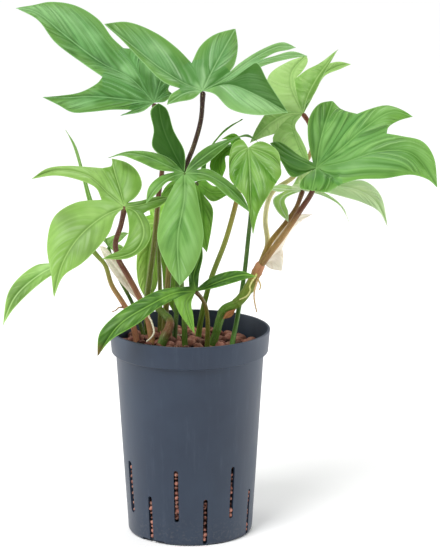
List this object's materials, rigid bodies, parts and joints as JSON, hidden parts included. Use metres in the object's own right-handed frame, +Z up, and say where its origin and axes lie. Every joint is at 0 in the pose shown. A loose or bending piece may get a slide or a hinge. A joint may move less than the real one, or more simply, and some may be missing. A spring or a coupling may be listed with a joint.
{
  "type": "potted philodendron",
  "caption": "House plant with large lobed green leaves on slender stalks, growing from clay pebbles in a tall tapered culture pot with a collar and slotted sides.",
  "frame": {"origin": "centre of the pot's underside, on the floor plane", "axes": "+Z up along the pot's axis, -Y towards the side the leaves face, +X to the right seen from that side"},
  "size_m": [0.3942, 0.1976, 0.4813],
  "materials": {
    "pot_plastic": "satin moulded plastic",
    "clay_pebble": "rough fired clay",
    "leaf_mid": "waxy leaf blade",
    "leaf_dark": "waxy leaf blade",
    "leaf_fresh": "waxy young leaf blade",
    "leaf_pale": "waxy new leaf blade",
    "petiole_red": "smooth reddish stalk",
    "petiole_dark_brown": "smooth dark stalk",
    "petiole_golden": "smooth golden stalk",
    "petiole_olive": "smooth olive stalk",
    "petiole_green": "smooth green stalk",
    "stem_bark": "smooth ringed stem",
    "sheath_paper": "dry papery sheath",
    "aerial_root": "dull root skin"
  },
  "bodies": {
    "root": {"culture_pot": "pot_plastic", "pebble_bed": "clay_pebble", "leaf_top_left": "leaf_mid", "leaf_top": "leaf_mid", "leaf_pale": "leaf_pale", "leaf_right": "leaf_mid", "leaf_under_right": "leaf_pale", "leaf_heart": "leaf_mid", "leaf_star": "leaf_dark", "leaf_behind_star": "leaf_mid", "leaf_behind_heart": "leaf_dark", "leaf_left": "leaf_fresh", "leaf_far_left": "leaf_fresh", "leaf_slender": "leaf_pale", "leaf_low": "leaf_dark", "leaf_back": "leaf_pale", "petiole_top_left": "petiole_red", "petiole_top": "petiole_dark_brown", "petiole_pale": "petiole_golden", "petiole_right": "petiole_red", "petiole_under_right": "petiole_golden", "petiole_heart": "petiole_olive", "petiole_behind_heart": "petiole_green", "petiole_behind_star": "petiole_red", "petiole_star": "petiole_green", "petiole_left": "petiole_red", "petiole_far_left": "petiole_golden", "petiole_slender": "petiole_green", "petiole_low": "petiole_olive", "petiole_back": "petiole_olive", "stem_right": "stem_bark", "stem_middle": "stem_bark", "cataphyll_right": "sheath_paper", "cataphyll_left": "sheath_paper", "sheath_scrap": "sheath_paper", "root_yellow": "aerial_root", "root_tan": "aerial_root", "root_hook": "aerial_root", "root_white": "aerial_root", "root_lying": "aerial_root", "root_small": "aerial_root"}
  },
  "joints": []
}
